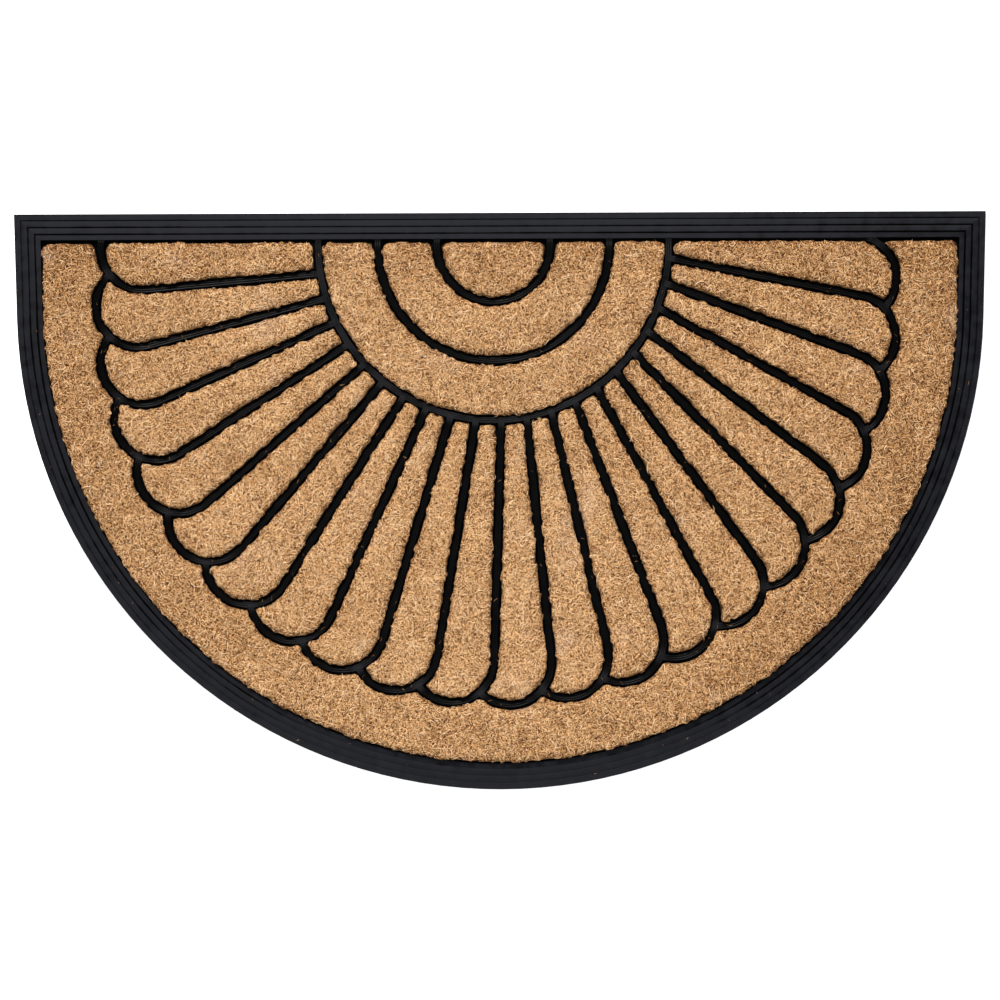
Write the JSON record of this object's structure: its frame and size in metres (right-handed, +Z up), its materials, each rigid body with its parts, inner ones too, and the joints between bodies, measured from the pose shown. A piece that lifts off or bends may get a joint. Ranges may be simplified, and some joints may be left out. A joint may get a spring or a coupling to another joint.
{
  "type": "coir doormat",
  "caption": "Half-round doormat: a black rubber moulding with a stepped rim and raised sunburst ribs, its pockets filled with pads of matted tan coir",
  "frame": {"origin": "on the floor, at the middle of the mat's bounding box", "axes": "X runs along the straight edge, Y points from the curved edge to the straight edge, Z is up"},
  "size_m": [0.75, 0.445, 0.012],
  "materials": {
    "rubber": "matt moulded",
    "coir": "matted natural fibre"
  },
  "bodies": {
    "root": {"rubber_base": "rubber", "coir_centre": "coir", "coir_ring_1": "coir", "coir_ring_2": "coir", "coir_petal_01": "coir", "coir_petal_02": "coir", "coir_petal_03": "coir", "coir_petal_04": "coir", "coir_petal_05": "coir", "coir_petal_06": "coir", "coir_petal_07": "coir", "coir_petal_08": "coir", "coir_petal_09": "coir", "coir_petal_10": "coir", "coir_petal_11": "coir", "coir_petal_12": "coir", "coir_petal_13": "coir", "coir_petal_14": "coir", "coir_petal_15": "coir", "coir_petal_16": "coir", "coir_petal_17": "coir", "coir_petal_18": "coir", "coir_petal_19": "coir", "coir_petal_20": "coir", "coir_petal_21": "coir", "coir_petal_22": "coir", "coir_border": "coir"}
  },
  "joints": []
}
